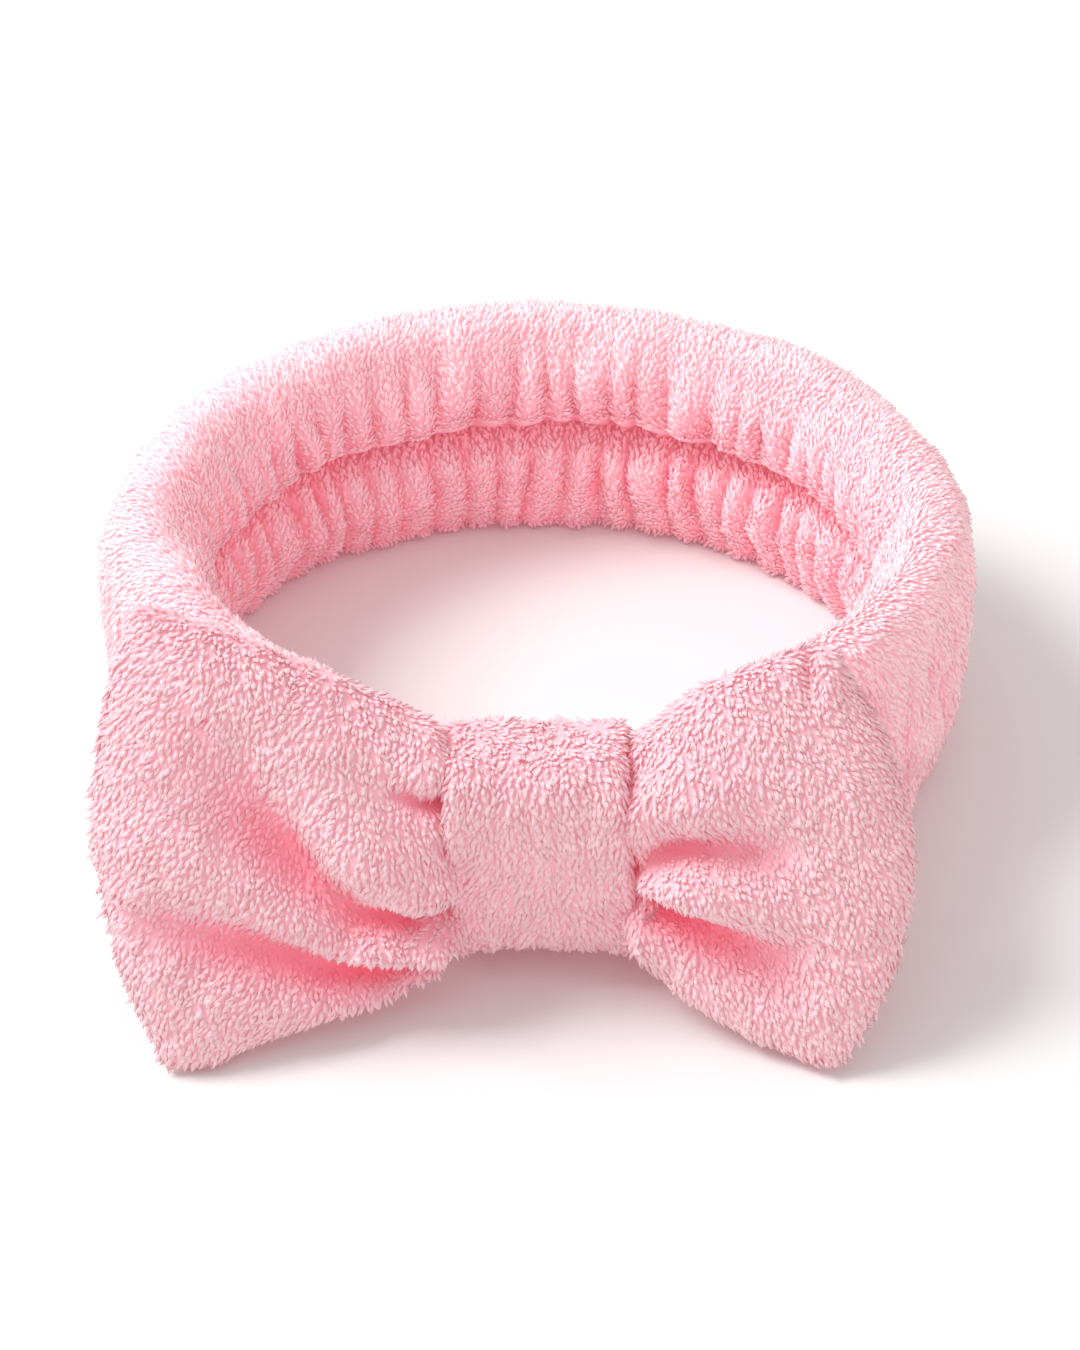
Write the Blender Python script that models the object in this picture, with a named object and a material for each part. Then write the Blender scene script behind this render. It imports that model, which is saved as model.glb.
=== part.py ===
"""Spa headband: a plush fleece tube gathered on an elastic loop, with a bow held by a wrapped knot.

The band stands on its lower edge and the bow faces -Y. +Z is up, and +X is to the right as seen
from the front, as are left and right in names. The origin is under the middle of the object's box,
on the surface that it stands on.
"""

import math

import bmesh
import bpy
from mathutils import Vector

# Driving dimensions, in metres.
RING_HALF_WIDTH = 0.0905  # middle of the band's thickness, across X
RING_REAR_DEPTH = 0.0785
RING_FRONT_DEPTH = 0.0783
RING_CENTRE_Y = 0.0195

BAND_HEIGHT = 0.0610
BAND_THICKNESS = 0.0180
FLEECE_WALL = 0.0055  # knitted base and pile together
CORNER_RADIUS = 0.0070
CREASE_DEPTH = 0.0040  # how far the seam pulls the inner face in
CREASE_REACH = 0.0090
SEAM_SLIT = 0.0012  # between the two edges that the long seam joins

PINCHED_HEIGHT = 0.0380  # the band where the knot squeezes it
PINCHED_THICKNESS = 0.0100
PINCHED_WALL = 0.0032
PINCHED_RADIUS = 0.0040
PINCHED_CREASE = 0.0004
PINCH_RUN = 0.0340  # along X, from the knot's side to the full section

KNOT_HALF_LENGTH = 0.0195
KNOT_HEIGHT = 0.0520
KNOT_DEPTH = 0.0325
KNOT_WALL = 0.0040
KNOT_RADIUS = 0.0090
KNOT_MIDDLE_Z = 0.0315

WAIST_HEIGHT = 0.0380
WAIST_DEPTH = 0.0078
ELASTIC_WIDTH = 0.0250
ELASTIC_THICKNESS = 0.0012
THREAD_DIAMETER = 0.0006
CLEARANCE = 0.0003

# The bow's loops. A reach is the X of the outer end, at its bottom, middle and top.
LEFT_LOOP_REACH = (0.0780, 0.0930, 0.0840)
RIGHT_LOOP_REACH = (0.0690, 0.0780, 0.0610)
LEFT_LOOP_TOP = 0.0800
RIGHT_LOOP_TOP = 0.0770
LOOP_FOOT = 0.0006
LOOP_END_BOTTOM_Y = -0.1065
LOOP_END_TOP_Y = -0.0500
LOOP_BELLY = 0.0125  # half the loop's depth at its fullest

# The loop's shoulder, where the gathers have just opened beside the knot.
SHOULDER_SHARE = 0.14
SHOULDER_TOP = 0.0615
SHOULDER_FOOT = 0.0030
SHOULDER_BOTTOM_Y = -0.0850
SHOULDER_TOP_Y = -0.0540
LOOP_NECK_RUN = 0.0008  # straight stretch past the hinge line
LOOP_TO_BAND = 0.0018

FRONT_STATIONS = 24
REAR_STATIONS = 30
SEAM_POINTS = 44
PART_ANGLE = math.radians(84)  # where the rear half of the band meets the front half
END_GAP = math.radians(0.12)

FLEECE_PINK = (0.83, 0.44, 0.50, 1)
THREAD_PINK = (0.80, 0.38, 0.45, 1)
ELASTIC_WHITE = (0.86, 0.84, 0.82, 1)


def smooth(value):
    """0 below 0, 1 above 1 and a smooth ramp between."""
    value = min(1.0, max(0.0, value))
    return value * value * (3 - 2 * value)


def mix(start, end, share):
    return start + (end - start) * share


def ring_point(angle):
    """A point on the ring's middle line. Angle 0 is the rear, and a right angle is the +X side."""
    depth = RING_REAR_DEPTH if math.cos(angle) > 0 else RING_FRONT_DEPTH
    x = RING_HALF_WIDTH * math.sin(angle)
    return Vector((x, RING_CENTRE_Y + depth * math.cos(angle), 0))


def outward(angle):
    """The ring's level outward direction."""
    step = 1e-3
    along = ring_point(angle + step) - ring_point(angle - step)
    return Vector((-along.y, along.x, 0)).normalized()


def pinch(angle):
    """1 inside the knot, 0 where the band has its full section."""
    if math.cos(angle) > 0:
        return 0.0
    past_knot = abs(ring_point(angle).x) - KNOT_HALF_LENGTH
    return 1 - smooth(past_knot / PINCH_RUN)


def band_sizes(angle):
    """Height, thickness, wall, corner radius, crease depth and middle height of the band."""
    squeezed = pinch(angle)
    full = (BAND_HEIGHT, BAND_THICKNESS, FLEECE_WALL, CORNER_RADIUS, CREASE_DEPTH, BAND_HEIGHT / 2)
    small = (
        PINCHED_HEIGHT,
        PINCHED_THICKNESS,
        PINCHED_WALL,
        PINCHED_RADIUS,
        PINCHED_CREASE,
        KNOT_MIDDLE_Z,
    )
    return [mix(a, b, squeezed) for a, b in zip(full, small)]


def arc(centre_out, centre_up, radius, start_degrees, end_degrees, pieces=3):
    """Points of a corner, as (outward, up) pairs."""
    points = []
    for i in range(pieces + 1):
        turn = math.radians(mix(start_degrees, end_degrees, i / pieces))
        points.append((centre_out + radius * math.cos(turn), centre_up + radius * math.sin(turn)))
    return points


def folded_outline(height, thickness, radius, crease, slit):
    """The strip's outline from its lower sewn edge, round the outside, to its upper sewn edge."""
    half_up, half_out = height / 2, thickness / 2
    inner_side = []
    for share in (0.0, 0.35, 0.75):
        up = mix(slit / 2, half_up - radius, share)
        drawn_in = crease * math.exp(-((up / CREASE_REACH) ** 2))
        inner_side.append((-half_out + drawn_in, up))
    below = [(out, -up) for out, up in inner_side]
    below += arc(-half_out + radius, -half_up + radius, radius, 180, 270)
    below += arc(half_out - radius, -half_up + radius, radius, 270, 360)
    above = [(out, -up) for out, up in reversed(below)]
    return below + above


def cover_section(angle):
    """The closed outline of the fleece wall: a strip folded round, open only along its seam."""
    height, thickness, wall, radius, crease, middle = band_sizes(angle)
    skin = folded_outline(height, thickness, radius, crease, SEAM_SLIT)
    lining_radius = max(radius - wall, wall / 4)
    lining = folded_outline(
        height - 2 * wall, thickness - 2 * wall, lining_radius, crease, SEAM_SLIT
    )
    return [(out, middle + up) for out, up in skin + lining[::-1]]


def on_ring(angle, section):
    """Places (outward, up) pairs upright across the ring at an angle."""
    foot, out_way = ring_point(angle), outward(angle)
    return [foot + out_way * out + Vector((0, 0, up)) for out, up in section]


def material(name, colour, roughness):
    made = bpy.data.materials.get(name)
    if made is None:
        made = bpy.data.materials.new(name)
        made.use_nodes = True
        shader = made.node_tree.nodes["Principled BSDF"]
        shader.inputs["Base Color"].default_value = colour
        shader.inputs["Roughness"].default_value = roughness
        shader.inputs["Metallic"].default_value = 0.0
    return made


def fleece():
    return material("pink_fleece", FLEECE_PINK, 0.95)


def add_object(name, data, finish):
    made = bpy.data.objects.new(name, data)
    data.materials.append(finish)
    bpy.context.scene.collection.objects.link(made)
    return made


def loft(name, stations, finish, closed=False, capped=True):
    """Bridges closed outlines, one at each station, into one mesh object."""
    mesh_maker = bmesh.new()
    rings = []
    for outline in stations:
        corners = [mesh_maker.verts.new(point) for point in outline]
        pairs = zip(corners, corners[1:] + corners[:1])
        rings.append([mesh_maker.edges.new(pair) for pair in pairs])
    followers = rings[1:] + rings[:1] if closed else rings[1:]
    for ring, following in zip(rings, followers):
        bmesh.ops.bridge_loops(mesh_maker, edges=ring + following)
    if capped and not closed:
        for end in (rings[0], rings[-1]):
            bmesh.ops.contextual_create(mesh_maker, geom=end)
    bmesh.ops.recalc_face_normals(mesh_maker, faces=mesh_maker.faces)
    data = bpy.data.meshes.new(name)
    mesh_maker.to_mesh(data)
    mesh_maker.free()
    made = add_object(name, data, finish)
    data.shade_smooth()
    data.set_sharp_from_angle(angle=math.radians(50))
    return made


def thread(name, points, sides=1):
    """A sewing thread: a round tube along the points."""
    data = bpy.data.curves.new(name, "CURVE")
    data.dimensions = "3D"
    data.bevel_depth = THREAD_DIAMETER / 2
    data.bevel_resolution = sides
    data.use_fill_caps = True
    line = data.splines.new("POLY")
    line.points.add(len(points) - 1)
    for spot, point in zip(line.points, points):
        spot.co = (*point, 1)
    return add_object(name, data, material("pink_thread", THREAD_PINK, 0.6))


def band_half(name, start, end, stations):
    angles = [mix(start, end, i / (stations - 1)) for i in range(stations)]
    return loft(name, [on_ring(angle, cover_section(angle)) for angle in angles], fleece())


def seam_thread(name, start, end):
    """The long seam's thread, which weaves in and out between the two edges of the strip."""
    points = []
    for i in range(SEAM_POINTS):
        angle = mix(start, end, i / (SEAM_POINTS - 1))
        _, thickness, wall, _, crease, middle = band_sizes(angle)
        depth = -thickness / 2 + crease + wall / 2 + (wall / 6) * (-1) ** i
        points += on_ring(angle, [(depth, middle)])
    return thread(name, points)


def elastic_place(angle):
    """How far outward of the ring's middle line the elastic lies."""
    return mix(0.0015, 0.0009, pinch(angle))


def elastic_strip():
    """One flat elastic loop inside the fleece tube."""
    stations = []
    count = FRONT_STATIONS + REAR_STATIONS
    for i in range(count):
        angle = 2 * math.pi * i / count
        middle, place = band_sizes(angle)[5], elastic_place(angle)
        half_up, half_out = ELASTIC_WIDTH / 2, ELASTIC_THICKNESS / 2
        section = [
            (place - half_out, middle - half_up),
            (place + half_out, middle - half_up),
            (place + half_out, middle + half_up),
            (place - half_out, middle + half_up),
        ]
        stations.append(on_ring(angle, section))
    return loft(
        "elastic_strip", stations, material("elastic", ELASTIC_WHITE, 0.7), closed=True
    )


def elastic_joint_stitch():
    """The zigzag that sews the elastic's two ends together, on the elastic's outer face."""
    points = []
    middle_angle, swing, rows = math.radians(-128), math.radians(2.2), 9
    for i in range(rows):
        angle = middle_angle + swing * (-1) ** i
        out = elastic_place(angle) + ELASTIC_THICKNESS / 2 + CLEARANCE + THREAD_DIAMETER / 2
        up = mix(-0.4, 0.4, i / (rows - 1)) * ELASTIC_WIDTH + band_sizes(angle)[5]
        points += on_ring(angle, [(out, up)])
    return thread("elastic_joint_stitch", points)


def rounded_box(half_out, half_up, radius, pieces=4):
    """A rounded rectangle round the origin, as (outward, up) pairs."""
    across, up = half_out - radius, half_up - radius
    return (
        arc(-across, -up, radius, 180, 270, pieces)
        + arc(across, -up, radius, 270, 360, pieces)
        + arc(across, up, radius, 0, 90, pieces)
        + arc(-across, up, radius, 90, 180, pieces)
    )


def knot_middle_y():
    """The knot is centred on the band and the bow's waist together."""
    edge_angle = math.pi - math.asin(KNOT_HALF_LENGTH / RING_HALF_WIDTH)
    band_face = ring_point(edge_angle).y + PINCHED_THICKNESS / 2
    return band_face + 2 * CLEARANCE + KNOT_WALL - KNOT_DEPTH / 2


def across_knot(x, section, middle_y):
    return [Vector((x, middle_y + out, KNOT_MIDDLE_Z + up)) for out, up in section]


def knot_wrap():
    """A folded strip of fleece wrapped round the band and the bow, a little fuller at its edges."""
    stations = []
    for share in (-1.0, -0.5, 0.0, 0.5, 1.0):
        swell = 0.0008 * abs(share)
        section = rounded_box(KNOT_DEPTH / 2 - 0.0008 + swell, KNOT_HEIGHT / 2, KNOT_RADIUS)
        stations.append(across_knot(share * KNOT_HALF_LENGTH, section, knot_middle_y()))
    sleeve = loft("knot_wrap", stations, fleece(), capped=False)
    wall = sleeve.modifiers.new("wall", "SOLIDIFY")
    wall.thickness = KNOT_WALL
    wall.offset = -1
    wall.use_even_offset = True
    return sleeve


def knot_closing_stitch():
    """Whip stitches down the back of the knot, where the wrap's end is sewn down."""
    face = knot_middle_y() + KNOT_DEPTH / 2 - 0.0008 + CLEARANCE + THREAD_DIAMETER / 2
    points, rows = [], 15
    for i in range(rows):
        up = mix(-0.30, 0.30, i / (rows - 1)) * KNOT_HEIGHT
        points.append(Vector((0.0020 * (-1) ** i, face + 0.0003, KNOT_MIDDLE_Z + up)))
    return thread("knot_closing_stitch", points)


def waist_middle_y():
    band_front_face = ring_point(math.pi).y - PINCHED_THICKNESS / 2
    return band_front_face - 0.0016 - WAIST_DEPTH / 2


def bow_waist():
    """The bow's gathered middle, inside the knot."""
    stations = []
    end = KNOT_HALF_LENGTH
    for share, squeeze in ((-1, 1.0), (-0.5, 0.97), (0, 0.93), (0.5, 0.97), (1, 1.0)):
        section = rounded_box(WAIST_DEPTH / 2 * squeeze, WAIST_HEIGHT / 2 * squeeze, 0.0030)
        stations.append(across_knot(share * end, section, waist_middle_y()))
    return loft("bow_waist", stations, fleece())


def bow_gather_thread():
    """Three turns of thread that draw the bow's middle in."""
    points, turns, around = [], 3, 18
    reach = CLEARANCE + THREAD_DIAMETER / 2
    for i in range(turns * around + 1):
        turn = 2 * math.pi * i / around
        x = mix(-0.0022, 0.0022, i / (turns * around))
        half_out = WAIST_DEPTH / 2 + reach
        half_up = WAIST_HEIGHT / 2 + reach
        squarer = 0.45  # rounds the turn off towards a rectangle, as the waist is
        out = half_out * math.copysign(abs(math.cos(turn)) ** squarer, math.cos(turn))
        up = half_up * math.copysign(abs(math.sin(turn)) ** squarer, math.sin(turn))
        points.append(Vector((x, waist_middle_y() + out, KNOT_MIDDLE_Z + up)))
    return thread("bow_gather_thread", points)


def stitch_between_waist_and_band(name, x, swing, rows):
    """A row of stitches up the narrow space between the bow's waist and the band."""
    y = waist_middle_y() + WAIST_DEPTH / 2 + 0.0008
    points = []
    for i in range(rows):
        up = mix(-0.36, 0.36, i / (rows - 1)) * WAIST_HEIGHT
        points.append(Vector((x + swing * (-1) ** i, y, KNOT_MIDDLE_Z + up)))
    return thread(name, points)


def three_point(low, middle, high, share):
    """A curve through three values, at shares -1, 0 and 1."""
    return middle + (high - low) / 2 * share + ((high + low) / 2 - middle) * share * share


def hinge_x():
    """Where a loop turns: the middle of the round end that faces the bow's waist."""
    return KNOT_HALF_LENGTH + CLEARANCE + WAIST_DEPTH / 2


def band_face_y(x, z):
    """How far back a loop may lie: just off the band's outer face, and over its rounded top."""
    angle = math.pi - math.asin(min(1.0, abs(x) / RING_HALF_WIDTH))
    height, thickness, _, radius, _, middle = band_sizes(angle)
    stand_off = thickness / 2 + LOOP_TO_BAND
    half_width = RING_HALF_WIDTH + stand_off
    depth = RING_FRONT_DEPTH + stand_off
    face = RING_CENTRE_Y - depth * math.sqrt(1 - (x / half_width) ** 2)
    corner = middle + height / 2 - 0.5 * radius
    return face + 0.9 * max(0.0, z - corner)


def fullness(along):
    """Share of the loop's full depth: fullest past the middle, and closing round at the tip."""
    past_middle = (along - 0.55) / 0.45
    least = 0.40 if past_middle < 0 else 0.06
    return math.sqrt(max(least, 1 - past_middle**2))


def loop_outline(side, reach, top, along, around=28):
    """The loop's closed outline a share of the way along, from its neck at 0 to its tip at 1."""
    opened = smooth(along / SHOULDER_SHARE)
    past = max(0.0, along - SHOULDER_SHARE) / (1 - SHOULDER_SHARE)
    upper = mix(KNOT_MIDDLE_Z + WAIST_HEIGHT / 2, mix(SHOULDER_TOP, top, past), opened)
    lower = mix(KNOT_MIDDLE_Z - WAIST_HEIGHT / 2, mix(SHOULDER_FOOT, LOOP_FOOT, past), opened)
    rounding = math.sqrt(1 - 0.18 * (max(0.0, along - 0.78) / 0.22) ** 2)
    half_up, middle_z = rounding * (upper - lower) / 2, (upper + lower) / 2
    half_deep = mix(WAIST_DEPTH / 2, LOOP_BELLY * fullness(along), opened)
    bottom_y = mix(SHOULDER_BOTTOM_Y, LOOP_END_BOTTOM_Y, past)
    top_y = mix(SHOULDER_TOP_Y, LOOP_END_TOP_Y, past)
    points = []
    for i in range(around):
        turn = 2 * math.pi * i / around
        high = math.copysign(abs(math.sin(turn)) ** 0.8, math.sin(turn))
        deep = math.copysign(abs(math.cos(turn)) ** 0.8, math.cos(turn))
        x = mix(hinge_x() + LOOP_NECK_RUN, three_point(*reach, high), along)
        leaning = mix(bottom_y, top_y, (high + 1) / 2)
        y = mix(waist_middle_y(), leaning, opened) + half_deep * deep
        z = middle_z + half_up * high
        points.append(Vector((side * x, min(y, band_face_y(x, z)), z)))
    return points


def loop_root(side, neck):
    """Outlines of the round end that lets the loop turn beside the knot."""
    middle_y = waist_middle_y()
    outlines = []
    for turn in (12, 34, 60, 90):
        back_off = WAIST_DEPTH / 2 * math.cos(math.radians(turn))
        thin = math.sin(math.radians(turn))
        x = side * (hinge_x() - back_off)
        outlines.append([Vector((x, mix(middle_y, point.y, thin), point.z)) for point in neck])
    return outlines


def bow_loop(name, side, reach, top):
    """One loop of the bow: a puffed, leaning pillow that narrows into the knot."""
    neck = loop_outline(side, reach, top, 0)
    shares = (0.05, 0.10, 0.14, 0.24, 0.36, 0.48, 0.60, 0.72, 0.82, 0.90, 0.95, 0.98, 1.0)
    outlines = [loop_outline(side, reach, top, share) for share in shares]
    return loft(name, loop_root(side, neck) + [neck] + outlines, fleece())


def loop_seam_thread(name, side, reach, top):
    """The bow tube's closing seam, along the middle of the loop's back."""
    points = []
    for i in range(24):
        share = mix(0.10, 0.84, i / 23)
        back = loop_outline(side, reach, top, share)[0]
        points.append(back + Vector((0, CLEARANCE + THREAD_DIAMETER, 0)))
    return thread(name, points)


def move_with(joint_name, place, movers):
    """Parents moving pieces to an empty on their joint's axis, and leaves them where they are."""
    joint = bpy.data.objects.new(joint_name, None)
    joint.location = place
    bpy.context.scene.collection.objects.link(joint)
    for mover in movers:
        mover.parent = joint
        mover.location = -place


def build_band():
    front, rear = PART_ANGLE, PART_ANGLE - END_GAP
    band_half("band_front", front, 2 * math.pi - front, FRONT_STATIONS)
    seam_thread("seam_thread_front", front + 2 * END_GAP, 2 * math.pi - front - 2 * END_GAP)
    elastic_strip()
    elastic_joint_stitch()
    movers = [
        band_half("band_rear", -rear, rear, REAR_STATIONS),
        seam_thread("seam_thread_rear", -rear + 2 * END_GAP, rear - 2 * END_GAP),
    ]
    move_with("band_stretch", Vector((0, RING_CENTRE_Y, BAND_HEIGHT / 2)), movers)


def build_knot():
    knot_wrap()
    knot_closing_stitch()
    bow_waist()
    bow_gather_thread()
    stitch_between_waist_and_band("band_end_stitch", -0.0090, 0.0, 12)
    stitch_between_waist_and_band("bow_tack_stitch", 0.0090, 0.0025, 12)


def build_loops():
    sides = (
        ("left", -1, LEFT_LOOP_REACH, LEFT_LOOP_TOP),
        ("right", 1, RIGHT_LOOP_REACH, RIGHT_LOOP_TOP),
    )
    for word, side, reach, top in sides:
        movers = [
            bow_loop(f"bow_{word}_loop", side, reach, top),
            loop_seam_thread(f"bow_{word}_seam_thread", side, reach, top),
        ]
        hinge = Vector((side * hinge_x(), waist_middle_y(), KNOT_MIDDLE_Z))
        move_with(f"{word}_loop_flex", hinge, movers)


for old in list(bpy.data.objects):
    bpy.data.objects.remove(old)
build_band()
build_knot()
build_loops()
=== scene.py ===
# %% [markdown]
# # A plush spa headband with a bow
# This headband is sewn from coral fleece, a knitted cloth with a deep, soft pile. One strip is
# folded into a tube round a flat elastic loop, which gathers the tube into ribs. A second tube is
# pinched in the middle to make the bow, and a short strip wraps round both as the knot. The solids
# that the frame holds say where each piece is. Here every piece gets its cloth, folds and pile.

import math

import bmesh
import bpy
import numpy as np
from mathutils import Matrix, Vector, noise


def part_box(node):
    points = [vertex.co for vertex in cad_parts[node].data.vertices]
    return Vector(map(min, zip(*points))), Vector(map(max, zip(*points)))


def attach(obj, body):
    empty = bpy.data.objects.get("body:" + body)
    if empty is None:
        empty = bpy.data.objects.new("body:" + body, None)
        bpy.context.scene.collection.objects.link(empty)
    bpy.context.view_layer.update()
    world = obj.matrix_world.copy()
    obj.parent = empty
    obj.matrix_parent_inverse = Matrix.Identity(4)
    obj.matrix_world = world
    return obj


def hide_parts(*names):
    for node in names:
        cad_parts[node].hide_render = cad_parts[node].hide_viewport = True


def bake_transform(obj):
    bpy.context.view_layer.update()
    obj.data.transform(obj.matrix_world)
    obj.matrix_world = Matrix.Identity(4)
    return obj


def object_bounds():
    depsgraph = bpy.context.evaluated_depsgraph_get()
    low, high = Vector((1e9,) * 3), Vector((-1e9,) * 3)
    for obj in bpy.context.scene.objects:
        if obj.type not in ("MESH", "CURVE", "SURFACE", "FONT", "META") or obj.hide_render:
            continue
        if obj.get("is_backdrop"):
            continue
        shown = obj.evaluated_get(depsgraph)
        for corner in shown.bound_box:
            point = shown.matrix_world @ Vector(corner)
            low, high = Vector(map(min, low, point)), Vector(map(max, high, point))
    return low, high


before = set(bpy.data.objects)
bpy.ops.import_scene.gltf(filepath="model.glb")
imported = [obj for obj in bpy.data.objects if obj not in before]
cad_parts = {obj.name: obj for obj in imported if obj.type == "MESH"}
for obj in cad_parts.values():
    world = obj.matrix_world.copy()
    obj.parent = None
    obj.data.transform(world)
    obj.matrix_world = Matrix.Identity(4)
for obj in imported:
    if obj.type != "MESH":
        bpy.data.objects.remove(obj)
cad_low, cad_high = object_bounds()
print("object", [round(side, 3) for side in cad_high - cad_low])

# %% [markdown]
# ## Camera
# A viewer looks down on the headband from the front. A long lens keeps the bow, which is
# nearest, from looking too large beside the ring.

# %% Camera
CAMERA_HEIGHT_ANGLE = math.radians(39)
CAMERA_DISTANCE = 0.70
CAMERA_LENS_MM = 81.1
LOOK_AT = Vector((0, -0.007, 0.030))

camera_data = bpy.data.cameras.new("camera")
camera_data.lens = CAMERA_LENS_MM
camera = bpy.data.objects.new("camera", camera_data)
away = Vector((0, -math.cos(CAMERA_HEIGHT_ANGLE), math.sin(CAMERA_HEIGHT_ANGLE)))
camera.location = LOOK_AT + away * CAMERA_DISTANCE
camera.rotation_euler = away.to_track_quat("Z", "Y").to_euler()
bpy.context.scene.collection.objects.link(camera)
bpy.context.scene.camera = camera
print("camera", [round(value, 3) for value in camera.location])

# %% [markdown]
# ## Floor and light
# A wide plain white floor, a bright even surround, and one large soft lamp high on the left, so
# that the shadow falls softly to the right.

# %% Floor and light
FLOOR_SIZE = 6.0
FLOOR_WHITE = 0.84
SURROUND_COLOUR = (1.0, 0.985, 0.98, 1)
SURROUND_STRENGTH = 0.76
LAMP_PLACE = (-1.95, 0.25, 2.25)
LAMP_AIM = (0, 0, 0.03)
LAMP_SIZE = 1.3
LAMP_POWER = 68.0
scene = bpy.context.scene
scene.view_settings.view_transform = "Standard"

floor_maker = bmesh.new()
bmesh.ops.create_grid(floor_maker, x_segments=1, y_segments=1, size=FLOOR_SIZE / 2)
floor_mesh = bpy.data.meshes.new("floor")
floor_maker.to_mesh(floor_mesh)
floor_maker.free()
floor = bpy.data.objects.new("floor", floor_mesh)
scene.collection.objects.link(floor)
floor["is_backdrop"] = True

paper = bpy.data.materials.new("white_paper")
paper.use_nodes = True
paper_shader = paper.node_tree.nodes["Principled BSDF"]
paper_shader.inputs["Base Color"].default_value = (FLOOR_WHITE, FLOOR_WHITE, FLOOR_WHITE, 1)
paper_shader.inputs["Roughness"].default_value = 0.9
floor_mesh.materials.append(paper)

surround = bpy.data.worlds.new("surround")
surround.use_nodes = True
sky = surround.node_tree.nodes["Background"]
sky.inputs["Color"].default_value = SURROUND_COLOUR
sky.inputs["Strength"].default_value = SURROUND_STRENGTH
scene.world = surround


def soft_lamp(name, place, aim, size, power):
    """A square lamp at a place, turned to face a point."""
    data = bpy.data.lights.new(name, "AREA")
    data.size = size
    data.energy = power
    lamp = bpy.data.objects.new(name, data)
    lamp.location = place
    lamp.rotation_euler = (Vector(place) - Vector(aim)).to_track_quat("Z", "Y").to_euler()
    scene.collection.objects.link(lamp)


soft_lamp("window", LAMP_PLACE, LAMP_AIM, LAMP_SIZE, LAMP_POWER)
print("lamp", LAMP_SIZE, "m across,", LAMP_POWER, "W")

# %% [markdown]
# ## The ring's measures
# The frame says how wide and tall the band is and how far back its rear lies; its thickness and its
# depth in front are given here. Everything that follows is placed by an angle round the ring, from
# the rear, and by how far outward and up it lies in the band.

# %% Measures of the band and the knot
UP = Vector((0, 0, 1))
PILE = 0.0003  # how far the cloth's ground lies inside its solids, before it swells
CLOTH_FLOOR = 0.0012  # the ground lies no lower, so that there is room for the pile under it
BAND_THICKNESS = 0.0180
PINCHED_HEIGHT = 0.0380  # the band's height and thickness inside the knot
PINCHED_THICKNESS = 0.0100
PINCH_RUN = 0.0340  # from the knot's side to where the band has its full section

front_low, front_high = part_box("band_front")
rear_low, rear_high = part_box("band_rear")
knot_low, knot_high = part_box("knot_wrap")
waist_low, waist_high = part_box("bow_waist")
BAND_HEIGHT = front_high.z
RING_HALF_WIDTH = (front_high.x - front_low.x) / 2 - BAND_THICKNESS / 2
knot_middle = (knot_low + knot_high) / 2
knot_half = (knot_high - knot_low) / 2
KNOT_REACH = waist_high.x  # half the knot's length
WAIST_Y = (waist_low.y + waist_high.y) / 2
RING_CENTRE_Y = 0.0195
RING_REAR_DEPTH = rear_high.y - BAND_THICKNESS / 2 - RING_CENTRE_Y
RING_FRONT_DEPTH = 0.0783
print("ring", round(RING_HALF_WIDTH, 4), round(RING_REAR_DEPTH, 4), "band", round(BAND_HEIGHT, 4))


def mix(start, end, share):
    return start + (end - start) * share


def smooth(value):
    """0 below 0, 1 above 1 and a smooth ramp between."""
    value = min(1.0, max(0.0, value))
    return value * value * (3 - 2 * value)


def ring_point(angle):
    """A point on the band's middle line. Angle 0 is the rear, a right angle is the +X side."""
    depth = RING_REAR_DEPTH if math.cos(angle) > 0 else RING_FRONT_DEPTH
    x = RING_HALF_WIDTH * math.sin(angle)
    return Vector((x, RING_CENTRE_Y + depth * math.cos(angle), 0))


def outward(angle):
    step = 1e-3
    along = ring_point(angle + step) - ring_point(angle - step)
    return Vector((-along.y, along.x, 0)).normalized()


def pinch(angle):
    """1 inside the knot, 0 where the band has its full section."""
    if math.cos(angle) > 0:
        return 0.0
    return 1 - smooth((abs(ring_point(angle).x) - KNOT_REACH) / PINCH_RUN)


def band_sizes(angle):
    """The band's height, thickness and middle height at an angle."""
    squeezed = pinch(angle)
    height = mix(BAND_HEIGHT, PINCHED_HEIGHT, squeezed)
    thickness = mix(BAND_THICKNESS, PINCHED_THICKNESS, squeezed)
    return height, thickness, mix(BAND_HEIGHT / 2, knot_middle.z, squeezed)


def wobble(x, y, z, size, seed=0.0):
    """Smooth unevenness from -1 to 1, whose lumps are about one size across."""
    return noise.noise(Vector((x / size + seed, y / size - seed, z / size + 2 * seed)))


# %% [markdown]
# ## From a bmesh to a piece
# Every piece goes through the same last steps: its normals are made to point out, it becomes an
# object at the origin, and it is shaded smooth.


# %% Helper that finishes a piece
def finish_piece(name, maker, finish):
    bmesh.ops.recalc_face_normals(maker, faces=maker.faces)
    data = bpy.data.meshes.new(name)
    maker.to_mesh(data)
    maker.free()
    data.materials.append(finish)
    data.shade_smooth()
    piece = bpy.data.objects.new(name, data)
    scene.collection.objects.link(piece)
    return piece
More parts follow.
